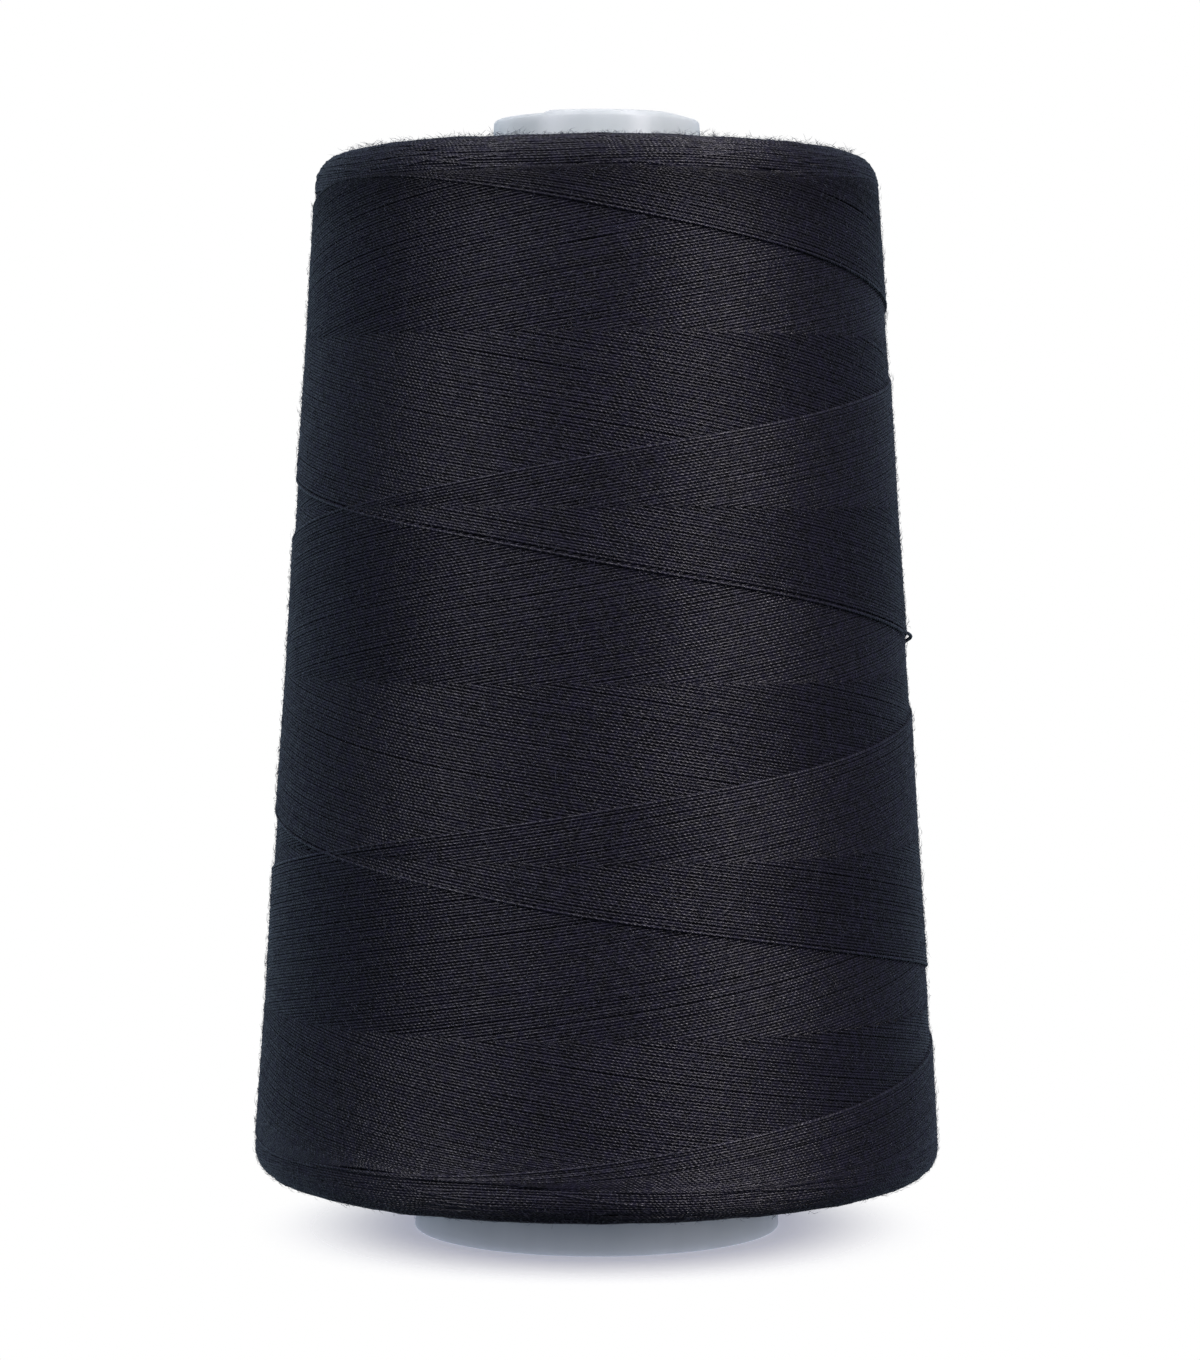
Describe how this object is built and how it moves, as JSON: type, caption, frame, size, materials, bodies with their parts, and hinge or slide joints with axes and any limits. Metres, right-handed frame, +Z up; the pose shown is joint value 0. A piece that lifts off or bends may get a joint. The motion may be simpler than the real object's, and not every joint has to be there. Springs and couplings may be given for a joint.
{
  "type": "cone of thread",
  "caption": "Tapered hollow plastic core carrying a tall crosswound package of black sewing thread, standing on its wide end.",
  "frame": {"origin": "centre of the core's wide end, on the surface it stands on", "axes": "+Z up along the core's axis towards its nose, -Y towards the front view"},
  "size_m": [0.09, 0.0899, 0.145],
  "materials": {
    "thread": "crosswound spun polyester sewing thread, near black, with a soft sheen and fine lint",
    "core_plastic": "translucent pale grey moulded polypropylene, satin"
  },
  "bodies": {
    "root": {"cone_core": "core_plastic", "thread_winding": "thread"}
  },
  "joints": []
}
